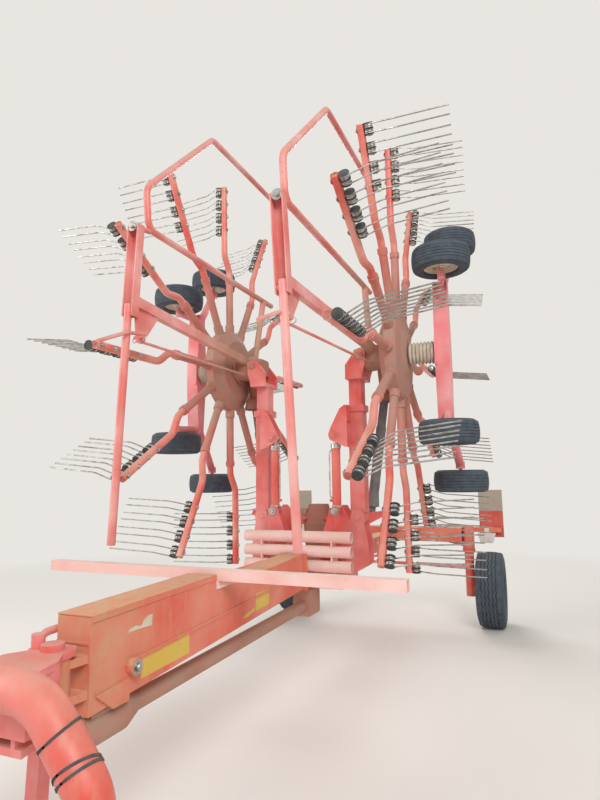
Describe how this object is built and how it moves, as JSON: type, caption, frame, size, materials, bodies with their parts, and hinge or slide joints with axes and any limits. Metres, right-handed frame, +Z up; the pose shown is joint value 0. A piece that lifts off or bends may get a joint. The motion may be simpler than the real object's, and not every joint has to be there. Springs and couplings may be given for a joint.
{
  "type": "folded rotary rake",
  "caption": "Towed twin-rotor hay rake folded for the road: beam, folding arms, tined rotors, guard bows and steered rear wheels.",
  "frame": {"origin": "centre of the bounding box at floor level, under the wheels and the parking stand", "axes": "+Z up, front of the machine (headstock) towards -Y, +X to the right when looking along +Y"},
  "size_m": [2.592, 5.6099, 4.116],
  "materials": {
    "red_paint": "sun-faded red machine enamel",
    "dusty_red": "red enamel under straw dust",
    "rotor_red": "red enamel, worn and dusty",
    "steel": "bare spring and pin steel",
    "tyre_rubber": "dusty tyre rubber",
    "rim_cream": "cream rim enamel",
    "guard_plastic": "grey shaft guard plastic",
    "bellows": "pale dusty bellows",
    "plate_white": "white plate"
  },
  "bodies": {
    "frame": {"main_beam": "dusty_red", "front_crossbar": "dusty_red", "tube_rack": "dusty_red", "centre_frame": "red_paint", "centre_gearbox": "dusty_red", "drive_line": "dusty_red", "rear_spine": "dusty_red", "axle_beam": "dusty_red", "light_boards": "plate_white", "marker_plates": "plate_white"},
    "headstock": {"headstock_arch": "red_paint", "swivel_head": "red_paint"},
    "parking_stand": {"parking_stand": "red_paint"},
    "steering_rod": {"steering_rod": "red_paint"},
    "bell_crank": {"bell_crank": "red_paint"},
    "tie_rod": {"tie_rod": "red_paint"},
    "knuckle_right": {"knuckle_right": "red_paint"},
    "transport_wheel_right": {"transport_tyre_right": "tyre_rubber", "transport_rim_right": "rim_cream"},
    "lift_arm_right": {"lift_arm_right": "red_paint"},
    "head_right": {"head_tube_right": "red_paint"},
    "carriage_right": {"rotor_gearbox_right": "red_paint", "column_bellows_right": "bellows", "chassis_right": "red_paint", "guard_right": "red_paint"},
    "rotor_right": {"rotor_hub_right": "rotor_red", "tine_arms_right": "rotor_red"},
    "lift_barrel_right": {"lift_barrel_right": "red_paint"},
    "lift_rod_right": {"lift_rod_right": "steel"},
    "drive_shaft_outer_right": {"drive_shaft_outer_right": "guard_plastic"},
    "drive_shaft_inner_right": {"drive_shaft_inner_right": "guard_plastic"},
    "small_wheel_front_upper_right": {"small_wheel_front_upper_right": "tyre_rubber"},
    "small_wheel_front_lower_right": {"small_wheel_front_lower_right": "tyre_rubber"},
    "small_wheel_rear_upper_right": {"small_wheel_rear_upper_right": "tyre_rubber"},
    "small_wheel_rear_lower_right": {"small_wheel_rear_lower_right": "tyre_rubber"},
    "knuckle_left": {"knuckle_left": "red_paint"},
    "transport_wheel_left": {"transport_tyre_left": "tyre_rubber", "transport_rim_left": "rim_cream"},
    "lift_arm_left": {"lift_arm_left": "red_paint"},
    "head_left": {"head_tube_left": "red_paint"},
    "carriage_left": {"rotor_gearbox_left": "red_paint", "column_bellows_left": "bellows", "chassis_left": "red_paint", "guard_left": "red_paint"},
    "rotor_left": {"rotor_hub_left": "rotor_red", "tine_arms_left": "rotor_red"},
    "lift_barrel_left": {"lift_barrel_left": "red_paint"},
    "lift_rod_left": {"lift_rod_left": "steel"},
    "drive_shaft_outer_left": {"drive_shaft_outer_left": "guard_plastic"},
    "drive_shaft_inner_left": {"drive_shaft_inner_left": "guard_plastic"},
    "small_wheel_front_upper_left": {"small_wheel_front_upper_left": "tyre_rubber"},
    "small_wheel_front_lower_left": {"small_wheel_front_lower_left": "tyre_rubber"},
    "small_wheel_rear_upper_left": {"small_wheel_rear_upper_left": "tyre_rubber"},
    "small_wheel_rear_lower_left": {"small_wheel_rear_lower_left": "tyre_rubber"}
  },
  "joints": [
    {"name": "headstock_swivel", "type": "hinge", "parent": "frame", "child": "headstock", "pos_m": [0, -2.48, 0.872], "axis": [0, 0, 1], "range_deg": [-50, 50]},
    {"name": "stand_fold", "type": "hinge", "parent": "frame", "child": "parking_stand", "pos_m": [-0.23, -2.28, 0.83], "axis": [1, 0, 0], "range_deg": [0, 88]},
    {"name": "steering_rod_slide", "type": "slide", "parent": "frame", "child": "steering_rod", "axis": [0, 1, 0], "range_m": [-0.05, 0.05]},
    {"name": "bell_crank_turn", "type": "hinge", "parent": "frame", "child": "bell_crank", "pos_m": [0, 2.12, 0.745], "axis": [0, 0, 1], "range_deg": [-23, 23]},
    {"name": "tie_rod_slide", "type": "slide", "parent": "frame", "child": "tie_rod", "axis": [1, 0, 0], "range_m": [-0.052, 0.052]},
    {"name": "steer_right", "type": "hinge", "parent": "frame", "child": "knuckle_right", "pos_m": [0.905, 2.42, 0.385], "axis": [0, 0, 1], "range_deg": [-18, 18]},
    {"name": "transport_wheel_right_turn", "type": "hinge", "parent": "knuckle_right", "child": "transport_wheel_right", "pos_m": [1.116, 2.42, 0.385], "axis": [1, 0, 0], "continuous": true},
    {"name": "fold_right", "type": "hinge", "parent": "frame", "child": "lift_arm_right", "pos_m": [0.391, 0.05, 1.287], "axis": [0, 1, 0], "range_deg": [0, 102]},
    {"name": "telescope_right", "type": "slide", "parent": "lift_arm_right", "child": "head_right", "axis": [0, 0, 1], "range_m": [0, 0.502]},
    {"name": "rotor_tilt_right", "type": "hinge", "parent": "head_right", "child": "carriage_right", "pos_m": [0.451, 0.05, 2.48], "axis": [0, 1, 0], "range_deg": [-12.2, 0.2]},
    {"name": "rotor_right_spin", "type": "hinge", "parent": "carriage_right", "child": "rotor_right", "pos_m": [0.722, 0.05, 2.48], "axis": [1, 0, 0], "continuous": true},
    {"name": "lift_barrel_right_swing", "type": "hinge", "parent": "frame", "child": "lift_barrel_right", "pos_m": [0.25, -0.067, 1.33], "axis": [0, 1, 0], "range_deg": [0, 96]},
    {"name": "lift_rod_right_slide", "type": "slide", "parent": "lift_barrel_right", "child": "lift_rod_right", "axis": [0, 0, 1], "range_m": [0, 0.232]},
    {"name": "drive_shaft_right_swing", "type": "hinge", "parent": "frame", "child": "drive_shaft_outer_right", "pos_m": [0.43, 0.22, 1.287], "axis": [0, 1, 0], "range_deg": [0, 105.5]},
    {"name": "drive_shaft_right_slide", "type": "slide", "parent": "drive_shaft_outer_right", "child": "drive_shaft_inner_right", "axis": [0.1469, 0, 0.9892], "range_m": [0, 0.49]},
    {"name": "small_wheel_front_upper_right_turn", "type": "hinge", "parent": "carriage_right", "child": "small_wheel_front_upper_right", "pos_m": [1.093, -0.17, 3.09], "axis": [0, 0, 1], "continuous": true},
    {"name": "small_wheel_front_lower_right_turn", "type": "hinge", "parent": "carriage_right", "child": "small_wheel_front_lower_right", "pos_m": [1.093, -0.17, 1.87], "axis": [0, 0, 1], "continuous": true},
    {"name": "small_wheel_rear_upper_right_turn", "type": "hinge", "parent": "carriage_right", "child": "small_wheel_rear_upper_right", "pos_m": [1.093, 0.39, 3.42], "axis": [0, 0, 1], "continuous": true},
    {"name": "small_wheel_rear_lower_right_turn", "type": "hinge", "parent": "carriage_right", "child": "small_wheel_rear_lower_right", "pos_m": [1.093, 0.39, 1.54], "axis": [0, 0, 1], "continuous": true},
    {"name": "steer_left", "type": "hinge", "parent": "frame", "child": "knuckle_left", "pos_m": [-0.905, 2.42, 0.385], "axis": [0, 0, 1], "range_deg": [-18, 18]},
    {"name": "transport_wheel_left_turn", "type": "hinge", "parent": "knuckle_left", "child": "transport_wheel_left", "pos_m": [-1.116, 2.42, 0.385], "axis": [1, 0, 0], "continuous": true},
    {"name": "fold_left", "type": "hinge", "parent": "frame", "child": "lift_arm_left", "pos_m": [-0.391, 0.05, 1.287], "axis": [0, -1, 0], "range_deg": [0, 102]},
    {"name": "telescope_left", "type": "slide", "parent": "lift_arm_left", "child": "head_left", "axis": [0, 0, 1], "range_m": [0, 0.502]},
    {"name": "rotor_tilt_left", "type": "hinge", "parent": "head_left", "child": "carriage_left", "pos_m": [-0.451, 0.05, 2.48], "axis": [0, -1, 0], "range_deg": [-12.2, 0.2]},
    {"name": "rotor_left_spin", "type": "hinge", "parent": "carriage_left", "child": "rotor_left", "pos_m": [-0.722, 0.05, 2.48], "axis": [1, 0, 0], "continuous": true},
    {"name": "lift_barrel_left_swing", "type": "hinge", "parent": "frame", "child": "lift_barrel_left", "pos_m": [-0.25, -0.067, 1.33], "axis": [0, -1, 0], "range_deg": [0, 96]},
    {"name": "lift_rod_left_slide", "type": "slide", "parent": "lift_barrel_left", "child": "lift_rod_left", "axis": [0, 0, 1], "range_m": [0, 0.232]},
    {"name": "drive_shaft_left_swing", "type": "hinge", "parent": "frame", "child": "drive_shaft_outer_left", "pos_m": [-0.43, 0.22, 1.287], "axis": [0, -1, 0], "range_deg": [0, 105.5]},
    {"name": "drive_shaft_left_slide", "type": "slide", "parent": "drive_shaft_outer_left", "child": "drive_shaft_inner_left", "axis": [-0.1469, 0, 0.9892], "range_m": [0, 0.49]},
    {"name": "small_wheel_front_upper_left_turn", "type": "hinge", "parent": "carriage_left", "child": "small_wheel_front_upper_left", "pos_m": [-1.093, -0.17, 3.09], "axis": [0, 0, 1], "continuous": true},
    {"name": "small_wheel_front_lower_left_turn", "type": "hinge", "parent": "carriage_left", "child": "small_wheel_front_lower_left", "pos_m": [-1.093, -0.17, 1.87], "axis": [0, 0, 1], "continuous": true},
    {"name": "small_wheel_rear_upper_left_turn", "type": "hinge", "parent": "carriage_left", "child": "small_wheel_rear_upper_left", "pos_m": [-1.093, 0.39, 3.42], "axis": [0, 0, 1], "continuous": true},
    {"name": "small_wheel_rear_lower_left_turn", "type": "hinge", "parent": "carriage_left", "child": "small_wheel_rear_lower_left", "pos_m": [-1.093, 0.39, 1.54], "axis": [0, 0, 1], "continuous": true}
  ],
  "couplings": [
    {"joint": "steering_rod_slide", "follows": "headstock_swivel", "m_per_rad": -0.0562},
    {"joint": "bell_crank_turn", "follows": "headstock_swivel", "ratio": 0.4496},
    {"joint": "tie_rod_slide", "follows": "headstock_swivel", "m_per_rad": -0.0584},
    {"joint": "steer_right", "follows": "headstock_swivel", "ratio": -0.3435},
    {"joint": "telescope_right", "follows": "fold_right", "m_per_rad": 0.28086},
    {"joint": "rotor_tilt_right", "follows": "fold_right", "ratio": -0.11765},
    {"joint": "lift_barrel_right_swing", "follows": "fold_right", "ratio": 0.93441},
    {"joint": "lift_rod_right_slide", "follows": "fold_right", "m_per_rad": 0.12756},
    {"joint": "drive_shaft_right_swing", "follows": "fold_right", "ratio": 1.02},
    {"joint": "drive_shaft_right_slide", "follows": "fold_right", "m_per_rad": 0.27383},
    {"joint": "steer_left", "follows": "headstock_swivel", "ratio": -0.3435},
    {"joint": "telescope_left", "follows": "fold_left", "m_per_rad": 0.28086},
    {"joint": "rotor_tilt_left", "follows": "fold_left", "ratio": -0.11765},
    {"joint": "lift_barrel_left_swing", "follows": "fold_left", "ratio": 0.93441},
    {"joint": "lift_rod_left_slide", "follows": "fold_left", "m_per_rad": 0.12756},
    {"joint": "drive_shaft_left_swing", "follows": "fold_left", "ratio": 1.02},
    {"joint": "drive_shaft_left_slide", "follows": "fold_left", "m_per_rad": 0.27383}
  ]
}
